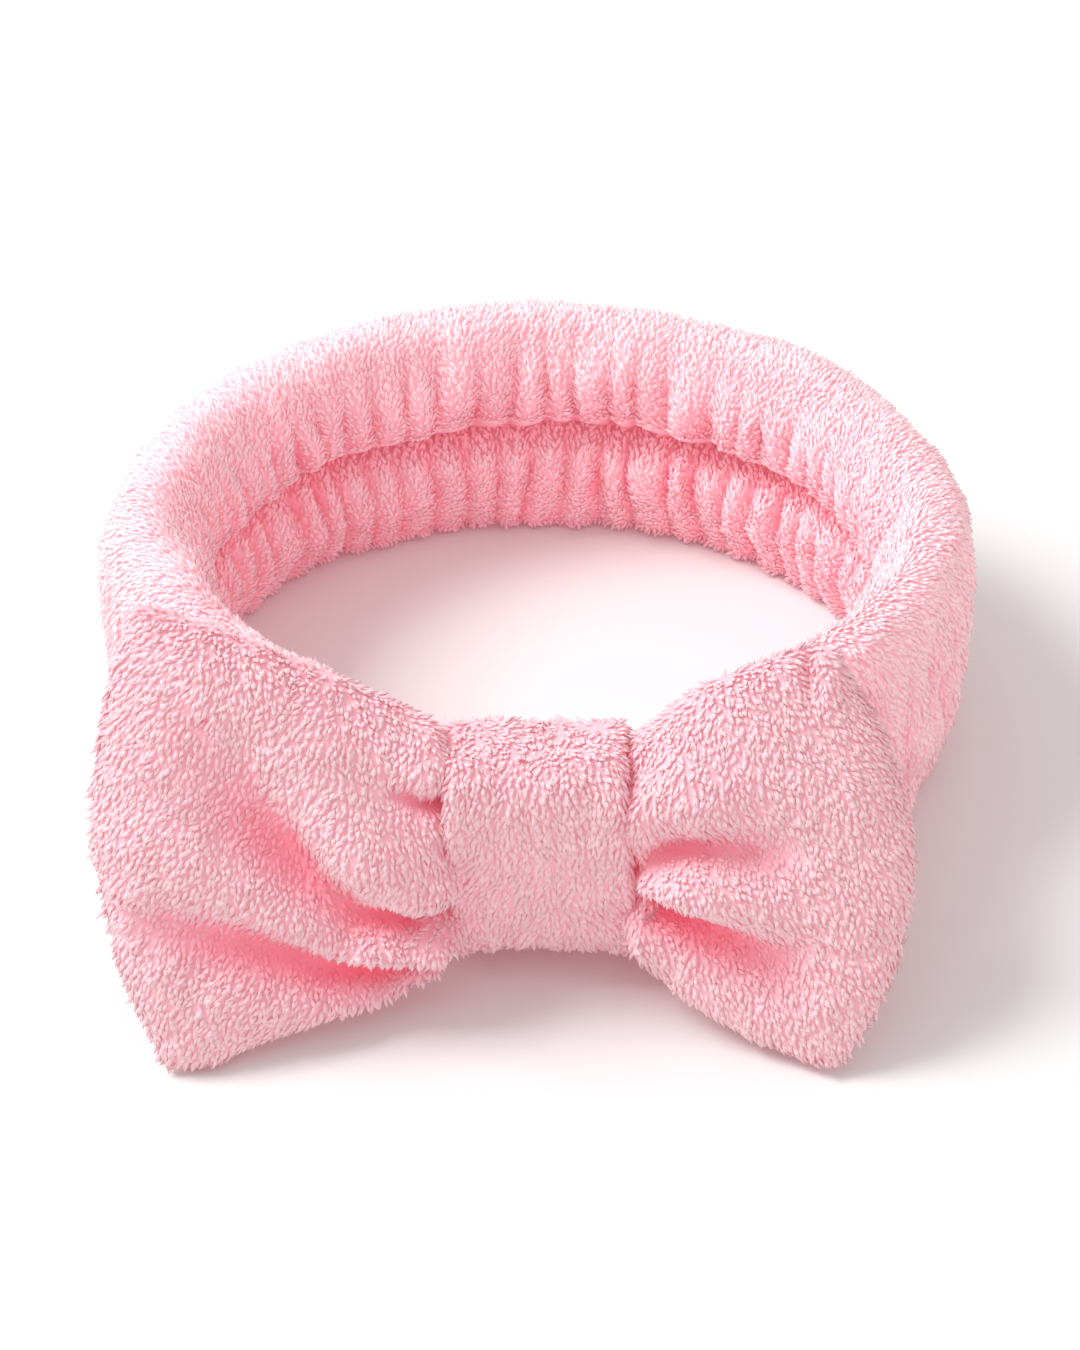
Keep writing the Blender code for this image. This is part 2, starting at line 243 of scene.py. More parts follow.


# %% [markdown]
# ## Fleece materials
# The ground of the cloth shows only between the locks of the pile, painted the deep pink of a
# lock's root. A lock is deep pink at its root and pale at its tip, as painted shade and painted
# light: the tips catch the light and the valleys only see light that has bounced from other pink
# fibres. Creases and rib valleys are painted a deeper pink still, as painted shade, and the bow's
# fleece is painted darker than the band's, as a shaded copy of the same cloth. One group of nodes
# makes these shades for every fleece, and the sheen of the fine fibres stays on each shader.


# %% Group of nodes for the pile's shades
def fibre_group():
    group = bpy.data.node_groups.new("fibre_shades", "ShaderNodeTree")
    sockets = group.interface
    for name in ("Root", "Tip", "Fold"):
        sockets.new_socket(name=name, in_out="INPUT", socket_type="NodeSocketColor")
    for name in ("Height", "Lock Shade", "Crease"):
        sockets.new_socket(name=name, in_out="INPUT", socket_type="NodeSocketFloat")
    sockets.new_socket(name="Color", in_out="OUTPUT", socket_type="NodeSocketColor")
    sockets.new_socket(name="Bump", in_out="OUTPUT", socket_type="NodeSocketFloat")
    nodes, links = group.nodes, group.links
    given, out = nodes.new("NodeGroupInput"), nodes.new("NodeGroupOutput")
    place = nodes.new("ShaderNodeTexCoord")

    fibres = nodes.new("ShaderNodeTexNoise")
    fibres.inputs["Scale"].default_value = 2600
    fibres.inputs["Detail"].default_value = 2
    links.new(place.outputs["Object"], fibres.inputs["Vector"])
    patches = nodes.new("ShaderNodeTexNoise")
    patches.inputs["Scale"].default_value = 55
    patches.inputs["Detail"].default_value = 3
    links.new(place.outputs["Object"], patches.inputs["Vector"])

    def blend(share, first, second):
        made = nodes.new("ShaderNodeMix")
        made.data_type = "RGBA"
        for socket, source in (("Factor", share), ("A", first), ("B", second)):
            links.new(source, made.inputs[socket])
        return made.outputs["Result"]

    # A lock goes from painted shade at its root to painted light at its tip.
    lock_shade = blend(given.outputs["Height"], given.outputs["Root"], given.outputs["Tip"])
    # Creases are painted the folds' deeper pink, as painted shade where little light reaches.
    fold_shade = blend(given.outputs["Crease"], lock_shade, given.outputs["Fold"])

    def brightness(source, low, high):
        ramp = nodes.new("ShaderNodeMapRange")
        ramp.inputs["To Min"].default_value = low
        ramp.inputs["To Max"].default_value = high
        links.new(source, ramp.inputs["Value"])
        return ramp.outputs["Result"]

    def times(first, second):
        product = nodes.new("ShaderNodeMath")
        product.operation = "MULTIPLY"
        links.new(first, product.inputs[0])
        links.new(second, product.inputs[1])
        return product.outputs["Value"]

    uneven = times(
        brightness(fibres.outputs["Fac"], 0.93, 1.05),
        brightness(patches.outputs["Fac"], 0.94, 1.05),
    )
    uneven = times(uneven, brightness(given.outputs["Lock Shade"], 0.95, 1.04))
    shade = nodes.new("ShaderNodeVectorMath")
    shade.operation = "SCALE"
    links.new(fold_shade, shade.inputs["Vector"])
    links.new(uneven, shade.inputs["Scale"])
    links.new(shade.outputs["Vector"], out.inputs["Color"])
    links.new(fibres.outputs["Fac"], out.inputs["Bump"])
    return group


FIBRES = fibre_group()


# %% Fleece materials
# The fleece glows a faint deep pink of its own, a painted glow that stands in for light which has
# passed through many fibres and comes out of the valleys. More passes through the thin gathered
# band than through the doubled cloth of the bow, so the band's painted glow is stronger.
BAND_PAINTED_GLOW = (0.16, 0.045, 0.056)
BOW_PAINTED_GLOW = (0.14, 0.012, 0.022)


def fleece(name, root, tip, painted_glow, height_attribute=True):
    """A fleece. With no height attribute it is the cloth's ground, which has the root's shade."""
    made = bpy.data.materials.new(name)
    made.use_nodes = True
    nodes, links = made.node_tree.nodes, made.node_tree.links
    shader = nodes["Principled BSDF"]
    shader.inputs["Roughness"].default_value = 0.9
    shader.inputs["Specular IOR Level"].default_value = 0.15
    shader.inputs["Sheen Weight"].default_value = 0.3
    # The emission is painted light: a glow that stands in for light coming through the fibres.
    shader.inputs["Emission Color"].default_value = (*painted_glow, 1)
    shader.inputs["Emission Strength"].default_value = 1.0
    shader.inputs["Sheen Roughness"].default_value = 0.5
    shader.inputs["Sheen Tint"].default_value = (1.0, 0.80, 0.84, 1)
    shades = nodes.new("ShaderNodeGroup")
    shades.node_tree = FIBRES
    shades.inputs["Root"].default_value = (*root, 1)
    shades.inputs["Tip"].default_value = (*tip, 1)
    shades.inputs["Fold"].default_value = (*FOLD_SHADE_PINK, 1)
    shades.inputs["Lock Shade"].default_value = 0.5
    attributes = {"crease_shade": "Crease"}
    if height_attribute:
        attributes |= {"height": "Height", "shade": "Lock Shade"}
    for attribute, socket in attributes.items():
        reader = nodes.new("ShaderNodeAttribute")
        reader.attribute_name = attribute
        links.new(reader.outputs["Fac"], shades.inputs[socket])
    bump = nodes.new("ShaderNodeBump")
    bump.inputs["Strength"].default_value = 0.35
    bump.inputs["Distance"].default_value = 0.0003
    links.new(shades.outputs["Color"], shader.inputs["Base Color"])
    links.new(shades.outputs["Bump"], bump.inputs["Height"])
    links.new(bump.outputs["Normal"], shader.inputs["Normal"])
    return made


BAND_ROOT = (0.98, 0.60, 0.67)
BAND_TIP = (0.995, 0.77, 0.81)
# The bow is the same fleece as the band, painted darker as a shaded copy because its faces get less
# light.
BOW_SHADED_ROOT = (0.88, 0.54, 0.61)
BOW_SHADED_TIP = (0.87, 0.675, 0.715)
# The deeper pink that creases and rib valleys are painted with, as painted shade.
FOLD_SHADE_PINK = (0.95, 0.25, 0.33)
band_ground = fleece("band_fleece_ground", BAND_ROOT, BAND_ROOT, BAND_PAINTED_GLOW, height_attribute=False)
band_fibres = fleece("band_fleece_pile", BAND_ROOT, BAND_TIP, BAND_PAINTED_GLOW)
shaded_bow_ground = fleece("bow_fleece_shaded_ground", BOW_SHADED_ROOT, BOW_SHADED_ROOT, BOW_PAINTED_GLOW, height_attribute=False)
shaded_bow_fibres = fleece("bow_fleece_shaded_pile", BOW_SHADED_ROOT, BOW_SHADED_TIP, BOW_PAINTED_GLOW)

# %% [markdown]
# ## The band's cloth
# A section of the band is a tall rounded shape. It starts as a circle that is spun round into a
# torus, because that closes the ring with no seam. Then each vertex is moved to its place: the
# section is stretched to the band's height, the long seam draws the inner face in half way up,
# and the elastic gathers the cloth into upright ribs, sharp in the valleys and round on top.

# %% Ribs and crease of the band
RIBS = 60
RIB_DEPTH = 0.0048
RIB_SHADE = 0.75  # how much painted fold shade a full valley gets
SEAM_DEPTH = 0.0072
SEAM_REACH = 0.0019  # half the height of the seam's groove
# How much painted fold shade the seam's groove gets.
SEAM_SHADE = 0.5
BAND_SWELL = 0.0016  # how far the soft cloth stands proud of the band's solid
LOBE = 0.0027  # how far the cloth swells above and below the seam
SECTION_SQUARENESS = 2.7
LEAN = 0.0016  # how far the band leans in and out as it goes round
BROAD_LUMP = 0.0012
SMALL_LUMP = 0.0023


def rib_valley(angle, up):
    """1 in the bottom of a valley between two ribs and 0 on top of a rib."""
    drift = 0.55 * wobble(3.0 * math.sin(angle), 3.0 * math.cos(angle), 9 * up, 0.45, 3.1)
    lower = 0.25 if up < 0 else 0.0
    turn = RIBS * angle / (2 * math.pi) + drift + lower
    return 1 - abs(math.sin(math.pi * turn)) ** 0.8


def rib_strength(angle, out_share, up_share):
    """Ribs are deep on the inner face, shallow on the top roll and uneven on the outer face."""
    inner = smooth((0.55 - out_share) / 1.1)
    top = 1 - 0.85 * smooth((up_share - 0.30) / 0.55) - 0.45 * smooth((-up_share - 0.55) / 0.45)
    outer = 0.34 + 0.30 * max(0.0, math.sin(angle))
    towards_front = 1 - 0.55 * smooth((angle - 0.25 * math.pi) / (0.35 * math.pi))
    uneven = 0.80 + 0.70 * wobble(math.sin(angle), math.cos(angle), up_share, 0.22, 7.7)
    return mix(outer, towards_front, inner) * top * max(0.15, uneven)


def band_surface(angle, section_angle):
    """A point of the band's cloth at an angle round the ring and one round its section.

    The second value is how much painted shade it gets, from 0 to 1, by how deep in a valley it
    lies.
    """
    height, thickness, middle = band_sizes(angle)
    swollen = BAND_SWELL * (1 - pinch(angle))
    half_up = height / 2 - PILE + swollen
    half_out = thickness / 2 - PILE + swollen * (1.5 if math.sin(angle) < 0 else 1.0)
    out_share, up_share = (
        math.copysign(abs(value) ** (2 / SECTION_SQUARENESS), value)
        for value in (math.cos(section_angle), math.sin(section_angle))
    )
    out, up = half_out * out_share, half_up * up_share
    free = 1 - 0.75 * pinch(angle)
    if out_share < 0:
        facing = abs(out_share) ** 1.5
        seam = SEAM_DEPTH * math.exp(-((up / SEAM_REACH) ** 2))
        lobes = LOBE * math.sin(math.pi * min(1.0, abs(up_share) * 1.15)) ** 2
        out += free * facing * (seam - lobes)
    towards_middle = Vector((out, up * 0.35)).normalized()
    sink = free * RIB_DEPTH * rib_strength(angle, out_share, up_share) * rib_valley(angle, up)
    if out_share < 0:
        sink *= 1 - 0.5 * math.exp(-((up / SEAM_REACH) ** 2))
    out -= sink * towards_middle.x
    up -= sink * towards_middle.y
    lean = LEAN * wobble(2 * math.sin(angle), 2 * math.cos(angle), 0, 0.55, 1.9)
    swell = BROAD_LUMP * wobble(math.sin(angle), math.cos(angle), up_share, 0.5, 5.3)
    swell += SMALL_LUMP * wobble(math.sin(angle), math.cos(angle), 0.3 * up_share, 0.13, 6.4)
    place = ring_point(angle) + outward(angle) * (out + lean * up_share + free * swell * out_share)
    rise = middle + up * (1 + 0.012 * lean / LEAN)
    # Valleys and the seam's groove are painted the folds' deeper pink, as painted shade.
    crease_shade = RIB_SHADE * sink / RIB_DEPTH
    if out_share < 0:
        crease_shade += SEAM_SHADE * free * math.exp(-((up / (0.6 * SEAM_REACH)) ** 2))
    return place + Vector((0, 0, max(rise, CLOTH_FLOOR))), min(1.0, crease_shade)


# %% A torus to shape rings from
def put_faces_in_order(maker):
    """Sorts faces by their vertices, because spin lists them in another order on each run."""
    count = len(maker.verts)
    maker.verts.index_update()

    def place_in_list(face):
        first, second, third = sorted(vert.index for vert in face.verts)[:3]
        return (first * count + second) * count + third

    maker.faces.sort(key=place_in_list)
    maker.faces.index_update()


def spun_torus(corners, steps):
    """A torus of radius 1 about the Z axis, whose section has so many corners."""
    maker = bmesh.new()
    start = bmesh.ops.create_circle(maker, segments=corners, radius=0.25)["verts"]
    upright = Matrix.Rotation(math.pi / 2, 3, "X")
    bmesh.ops.rotate(maker, verts=start, matrix=upright, cent=(0, 0, 0))
    bmesh.ops.translate(maker, verts=start, vec=(1, 0, 0))
    bmesh.ops.spin(
        maker,
        geom=maker.verts[:] + maker.edges[:],
        cent=(0, 0, 0),
        axis=(0, 0, 1),
        angle=2 * math.pi,
        steps=steps,
        use_merge=True,
    )
    put_faces_in_order(maker)
    return maker


def torus_angles(point):
    """The angle round the ring and the angle round its section of a point of the torus."""
    x, y, z = point
    return math.atan2(x, y), math.atan2(z, math.hypot(x, y) - 1)


# %% The band's cloth
# The pile of the folded strip lies one way all round the tube: out over the top, down the outer
# face, and up the inner face. Each point keeps that direction for the pile.
RING_STEPS = 600
SECTION_STEPS = 64


def band_cover():
    maker = spun_torus(SECTION_STEPS, RING_STEPS)
    layer = maker.verts.layers.float.new("crease_shade")
    lay = maker.verts.layers.float_vector.new("lay")
    for vert in maker.verts:
        angle, section_angle = torus_angles(vert.co)
        vert.co, vert[layer] = band_surface(angle, section_angle)
        vert[lay] = outward(angle) * math.sin(section_angle) - UP * math.cos(section_angle)
    return finish_piece("band_cover", maker, band_ground)


band = band_cover()
print("band cover", len(band.data.vertices), "points")

# %% [markdown]
# ## The bow's loops
# Each loop is a tube of fleece that lies flat, is folded back on itself and is gathered hard
# inside the knot. A loop is lofted here through sections from the knot to its outer fold: every
# section starts as a circle, is moved into its outline, and is bridged to the one before. At the
# outer fold the front and the back are welded together. The loop leans back against the band, so no
# point may lie further back than the band's face.

# %% Sections of a loop
LOOP_STEPS = 72
AROUND = 160
# The shoulder is where a loop has opened from the flat, gathered waist to its full section. The
# two loops aren't alike, because the cloth was pulled through the knot unevenly.
SHOULDER_SHARE = {"left": 0.105, "right": 0.075}
SHOULDER_TOP = {"left": 0.0620, "right": 0.0530}
TOP_RISE = {"left": 1.1, "right": 0.50}  # less than 1 rises to full height nearer the knot
SHOULDER_FOOT = {"left": 0.0090, "right": 0.0170}
FOOT_DROP = {"left": 1.0, "right": 0.45}  # less than 1 drops to the floor nearer the knot
CORNER_ROUNDING = {"left": 0.08, "right": 0.20}
SHOULDER_BOTTOM_Y = -0.0815
SHOULDER_TOP_Y = -0.0615
LOOP_FOOT = 0.0006
LOOP_END_TOP_Y = -0.0500
LOOP_BELLY = 0.0125  # half the loop's depth where it is fullest
WAIST_DEPTH = 0.0038  # half its depth inside the knot
THINNEST = 0.0008
FULLEST_SHARE = 0.55  # where along the loop it is fullest
LEAST_FULLNESS = {"knot": 0.64, "tip": 0.02}
TIP_ROUNDNESS = 3.6
LOOP_SQUARING = 0.8  # below 1 makes a loop's section fuller than an ellipse
LOOP_TO_BAND = 0.0012

loop_boxes = {word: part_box(f"bow_{word}_loop") for word in ("left", "right")}
LOOP_END_BOTTOM_Y = loop_boxes["left"][0].y + 0.0036
LOOP_SIDES = {"left": -1, "right": 1}
# The X of each loop's outer fold at its bottom, middle and top, and the height of its top corner.
LOOP_REACH = {"left": (0.0780, 0.0930, 0.0835), "right": (0.0640, 0.0780, 0.0620)}
LOOP_TOP = {"left": 0.0850, "right": 0.0750}


def three_point(low, middle, high, share):
    """A curve through three values, at shares -1, 0 and 1."""
    return middle + (high - low) / 2 * share + ((high + low) / 2 - middle) * share * share


def band_face_y(x, z):
    """How far back a loop may lie: just off the band's outer face, and over its rounded top."""
    angle = math.pi - math.asin(min(1.0, abs(x) / RING_HALF_WIDTH))
    height, thickness, middle = band_sizes(angle)
    stand_off = thickness / 2 + LOOP_TO_BAND
    half_width = RING_HALF_WIDTH + stand_off
    depth = RING_FRONT_DEPTH + stand_off
    face = RING_CENTRE_Y - depth * math.sqrt(1 - (x / half_width) ** 2)
    return face + 0.9 * max(0.0, z - (middle + height / 2 - 0.0030))


def fullness(along):
    """Share of the loop's full depth: fullest past the middle, and closing round at the tip."""
    past_middle = (along - FULLEST_SHARE) / 0.45
    least = LEAST_FULLNESS["knot" if past_middle < 0 else "tip"]
    return math.sqrt(max(least, 1 - abs(past_middle) ** TIP_ROUNDNESS))


def loop_outline(word, along, depth_share=1.0):
    """A section of a loop, from inside the knot at 0 to the outer fold at 1.

    With a depth share of 0 its front and back meet, which closes the outer fold.
    """
    shoulder = SHOULDER_SHARE[word]
    opened = smooth(along / shoulder)
    past = max(0.0, along - shoulder) / (1 - shoulder)
    top = mix(SHOULDER_TOP[word], LOOP_TOP[word], past ** TOP_RISE[word])
    upper = mix(waist_high.z - 0.002, top, opened)
    foot = mix(SHOULDER_FOOT[word], LOOP_FOOT, past ** FOOT_DROP[word])
    lower = mix(waist_low.z + 0.002, foot, opened)
    rounding = math.sqrt(1 - CORNER_ROUNDING[word] * (max(0.0, along - 0.80) / 0.20) ** 2)
    half_up = rounding * (upper - lower) / 2 - PILE * 0.6
    middle_z = (upper + lower) / 2
    half_deep = mix(WAIST_DEPTH, LOOP_BELLY * fullness(along), opened) - PILE * 0.6
    bottom_y = mix(SHOULDER_BOTTOM_Y, LOOP_END_BOTTOM_Y, past)
    top_y = mix(SHOULDER_TOP_Y, LOOP_END_TOP_Y, past)
    points = []
    for i in range(AROUND):
        turn = 2 * math.pi * i / AROUND
        high, deep = (
            math.copysign(abs(value) ** LOOP_SQUARING, value)
            for value in (math.sin(turn), math.cos(turn))
        )
        tip = three_point(*LOOP_REACH[word], high) - PILE
        x = mix(KNOT_REACH - 0.0035, tip, along)
        leaning = mix(bottom_y, top_y, (high + 1) / 2)
        y = mix(WAIST_Y, leaning, opened) + max(THINNEST, half_deep) * deep * depth_share
        z = middle_z + half_up * high
        points.append(Vector((LOOP_SIDES[word] * x, min(y, band_face_y(x, z) - PILE), z)))
    return points


def loft(maker, outlines, weld_last=False):
    """Bridges closed outlines into one skin, and closes its ends with a face or by welding."""
    before = None
    ends = []
    for outline in outlines:
        ring = bmesh.ops.create_circle(maker, segments=len(outline), radius=1)["verts"]
        for vert, point in zip(ring, outline):
            vert.co = point
        edges = list({edge for vert in ring for edge in vert.link_edges})
        if before:
            bmesh.ops.bridge_loops(maker, edges=before + edges)
        ends.append(edges)
        before = edges
    for end in (ends[0],) if weld_last else (ends[0], ends[-1]):
        bmesh.ops.contextual_create(maker, geom=[edge for edge in end if edge.is_boundary])
    if weld_last:
        bmesh.ops.remove_doubles(maker, verts=ring, dist=1e-6)


# %% [markdown]
# ## Folds of the bow
# The knot squeezes the cloth, so folds run out of it into the loops and fade. Each fold is a
# short path seen from the front, with a depth and a width that change along it. The cloth sinks
# along the path and swells beside it, which makes the soft, puffed lobes between two folds.


# %% Fold paths
def fold(points, depths, gentle, steep, swell=0.45):
    """A fold: (x, z) points from the knot outwards, then values at its start and at its end.

    The cloth sinks gently on the lower side of the path. On the upper side it rises steeply into a
    puffed lobe, whose height is a share of the fold's depth.
    """
    return {"points": points, "depths": depths, "gentle": gentle, "steep": steep, "swell": swell}


DEEPEST = 0.0100  # no fold cuts further into a loop
LEAN_STRETCH = 1.22  # a length up the leaning face for each length of height
LOBE_PLACE = 2.6  # the lobe's middle and width, in widths of the fold's steep side
LOBE_WIDTH = 1.7
FOLDS = {
    "left": (
        fold(
            ((-0.0160, 0.0490), (-0.0240, 0.0505), (-0.0330, 0.0535)),
            (0.0068, 0.0),
            (0.0030, 0.0030),
            (0.0022, 0.0020),
        ),
        fold(
            (
                (-0.0160, 0.0270),
                (-0.0280, 0.0262),
                (-0.0370, 0.0300),
                (-0.0460, 0.0385),
                (-0.0540, 0.0480),
                (-0.0640, 0.0610),
            ),
            (0.0105, 0.0020),
            (0.0042, 0.0160),
            (0.0022, 0.0050),
            0.50,
        ),
        fold(
            (
                (-0.0160, 0.0140),
                (-0.0300, 0.0140),
                (-0.0415, 0.0180),
                (-0.0515, 0.0230),
                (-0.0620, 0.0275),
                (-0.0780, 0.0330),
            ),
            (0.0098, 0.0035),
            (0.0040, 0.0085),
            (0.0026, 0.0050),
        ),
    ),
    "right": (
        fold(
            (
                (0.0170, 0.0345),
                (0.0215, 0.0378),
                (0.0310, 0.0426),
                (0.0370, 0.0440),
                (0.0470, 0.0434),
                (0.0568, 0.0422),
            ),
            (0.0085, 0.0),
            (0.0034, 0.0060),
            (0.0028, 0.0050),
        ),
        fold(
            (
                (0.0170, 0.0290),
                (0.0225, 0.0300),
                (0.0340, 0.0275),
                (0.0470, 0.0250),
                (0.0560, 0.0262),
            ),
            (0.0105, 0.0012),
            (0.0045, 0.0120),
            (0.0026, 0.0040),
            0.40,
        ),
        fold(
            ((0.0560, 0.0740), (0.0568, 0.0660)),
            (0.0026, 0.0),
            (0.0022, 0.0022),
            (0.0022, 0.0022),
        ),
    ),
}


# A puff of cloth between folds: the (x, z) of its middle, its half width, half height and rise.
PUFFS = {
    "left": (
        (-0.0335, 0.0400, 0.0130, 0.0085, 0.0042),
        (-0.0330, 0.0215, 0.0120, 0.0030, 0.0018),
    ),
    "right": (
        (0.0315, 0.0350, 0.0090, 0.0045, 0.0040),
        (0.0320, 0.0500, 0.0090, 0.0080, 0.0030),
    ),
}


def nearest_on(path, x, up):
    """Signed distance from a path, more than 0 above it, and the share of its length it is at."""
    corners = [Vector((px, pz * LEAN_STRETCH)) for px, pz in path]
    point = Vector((x, up * LEAN_STRETCH))
    lengths = [(b - a).length for a, b in zip(corners, corners[1:])]
    best, side, where, walked = 1.0, 1.0, 0.0, 0.0
    for a, b, length in zip(corners, corners[1:], lengths):
        share = min(1.0, max(0.0, (point - a).dot(b - a) / length**2))
        away = point - a.lerp(b, share)
        if away.length < best:
            run = b - a
            above = (run.x * away.y - run.y * away.x) * math.copysign(1, path[-1][0])
            best, side, where = away.length, above, (walked + share * length) / sum(lengths)
        walked += length
    return math.copysign(best, side), where


def fold_depth(word, x, z):
    """How far the cloth lies in (positive) or out at a point of a loop's face."""
    total = 0.0
    for one in FOLDS[word]:
        distance, where = nearest_on(one["points"], x, z)
        depth = mix(*one["depths"], where**2)
        steep = mix(*one["steep"], where)
        width = steep if distance > 0 else mix(*one["gentle"], where)
        sink = math.exp(-((distance / width) ** 2))
        beside = math.exp(-(((distance - LOBE_PLACE * steep) / (LOBE_WIDTH * steep)) ** 2))
        total += depth * (sink - one["swell"] * beside)
    for middle_x, middle_z, half_wide, half_up, rise in PUFFS[word]:
        apart = ((x - middle_x) / half_wide) ** 2 + ((z - middle_z) / half_up) ** 2
        total -= rise * math.exp(-(apart**1.3))
    return DEEPEST * math.tanh(total / DEEPEST)


PLEAT_DEPTH = 0.0007
PLEATS = 15  # one pleat in every 2 pi / 15 of the fan's angle
PLEAT_RUN = 0.011  # the pleats fade over this length


def gathers(x, z):
    """Small pleats that fan out of the knot and fade a little way along the loop."""
    from_knot = abs(x) - KNOT_REACH
    fan = math.atan2(z - knot_middle.z, from_knot + 0.018)
    fade = math.exp(-max(0.0, from_knot) / PLEAT_RUN)
    return PLEAT_DEPTH * fade * math.sin(PLEATS * fan + 2.5 * wobble(x, z, 0, 0.02, 2.2))


# %% The bow's loops
FACING = Vector((0, -0.80, 0.60))  # square to the leaning loops
FULL_CREASE_SHADE = 0.0082  # a fold this deep gets the full painted fold shade
TIP_OVERRUN = 1.008  # the weld lies this far along, just past the last full section


def brush_down(maker):
    """Lays the pile down the cloth and away from the object's middle."""
    lay = maker.verts.layers.float_vector.new("lay")
    for vert in maker.verts:
        vert[lay] = Vector((8 * vert.co.x, 8 * vert.co.y - 0.15, -0.9))


def bow_loop(word):
    maker = bmesh.new()
    shares = [math.sin(math.pi / 2 * i / LOOP_STEPS) ** 1.15 for i in range(LOOP_STEPS + 1)]
    outlines = [loop_outline(word, share) for share in shares]
    loft(maker, outlines + [loop_outline(word, TIP_OVERRUN, 0.0)], weld_last=True)
    bmesh.ops.recalc_face_normals(maker, faces=maker.faces)
    maker.normal_update()
    layer = maker.verts.layers.float.new("crease_shade")
    moves = []
    for vert in maker.verts:
        x, y, z = vert.co
        front = smooth((vert.normal.dot(FACING) + 0.15) / 0.75)
        # Folds are painted the deeper pink by their depth, as painted shade.
        vert[layer] = smooth(front * fold_depth(word, x, z) / FULL_CREASE_SHADE)
        lumps = 0.0009 * wobble(x, y, z, 0.016, 4.4) + 0.0005 * wobble(x, y, z, 0.007, 8.8)
        sink = front * (fold_depth(word, x, z) + gathers(x, z))
        sink += (1 - front) * 0.6 * gathers(x, z)
        moves.append(vert.normal * (lumps - sink))
    for vert, move in zip(maker.verts, moves):
        vert.co += move
        vert.co.y = min(vert.co.y, band_face_y(vert.co.x, vert.co.z) - PILE)
        vert.co.z = max(vert.co.z, CLOTH_FLOOR)
    brush_down(maker)
    return finish_piece(f"bow_{word}_cloth", maker, shaded_bow_ground)


loops = {word: bow_loop(word) for word in LOOP_SIDES}
for word, loop in loops.items():
    print(word, "loop", len(loop.data.vertices), "points")

# %% [markdown]
# ## The knot
# The knot is a strip wrapped tightly round the bow's waist and the band. Its long edges are folded
# under, so they show as thick round lips. It is lofted along its length through rounded boxes, with
# the lips turning in at both ends and faint pleats that follow the wrap.

# %% The knot
KNOT_SQUARENESS = 3.4
KNOT_STEPS = 26
# How far back from the knot's end each section of a lip lies, and how far in.
KNOT_LIPS = (
    (0.0046, 0.0062),
    (0.0016, 0.0052),
    (0.0004, 0.0036),
    (0.0000, 0.0022),
    (0.0006, 0.0008),
)
KNOT_PLEAT = 0.00018
KNOT_CREASE = 0.0007


def knot_outline(x, inset):
    """A rounded box round the knot, drawn in a little where the wrap is tightest."""
    tight = 0.0009 * (1 - (x / KNOT_REACH) ** 2)
    half_deep = knot_half.y - PILE - inset - tight
    half_up = knot_half.z - PILE - inset - tight * 0.5
    points = []
    for i in range(AROUND):
        turn = 2 * math.pi * i / AROUND
        deep, up = (
            math.copysign(abs(value) ** (2 / KNOT_SQUARENESS), value)
            for value in (math.cos(turn), math.sin(turn))
        )
        drift = 3.0 * wobble(x, deep, up, 1.1, 6.1)
        pleat = KNOT_PLEAT * math.sin(2 * math.pi * x / 0.0065 + drift)
        creases = KNOT_CREASE * wobble(x, 0.03 * deep, 0.05 * up, 0.011, 9.5)
        y = knot_middle.y + (half_deep + pleat + creases) * deep
        z = knot_middle.z + (half_up + pleat + creases) * up
        spread = x * (1 - 0.035 * up) - 0.0012 * up
        points.append(Vector((spread, y, z)))
    return points


def knot():
    maker = bmesh.new()
    lip = [(KNOT_REACH - back, inset) for back, inset in KNOT_LIPS]
    flat = [(KNOT_REACH - 0.0018) * (1 - 2 * i / KNOT_STEPS) for i in range(KNOT_STEPS + 1)]
    stations = lip + [(x, 0.0) for x in flat] + [(-x, inset) for x, inset in reversed(lip)]
    loft(maker, [knot_outline(x, inset) for x, inset in stations])
    brush_down(maker)
    return finish_piece("knot_cloth", maker, shaded_bow_ground)


knot_cloth = knot()
print("knot", len(knot_cloth.data.vertices), "points")

# %% [markdown]
# ## The pile
# Coral fleece carries a deep pile whose fibres cling together in small curled locks. One lock is
# a short cone with four sides that is bent over, so that it lies half flat on the cloth. Geometry
# nodes scatter copies of it over each cloth, never closer together than a set distance, and lay
# each one nearly the way that the cloth says, with patches where the pile was brushed another way.
# The copies are then made real, since the pile is a shape of its own and not only a shade.

# %% One lock of the pile
LOCK_LENGTH = 0.0030
LOCK_WIDTH = 0.00050
LOCK_RISE = 0.00065
LOCK_ROOT = 0.0007  # how far its root is sunk in the cloth
LOCK_SHAPE = ((0.0, 1.0), (0.66, 1.0), (1.0, 0.0))  # share of length, share of width


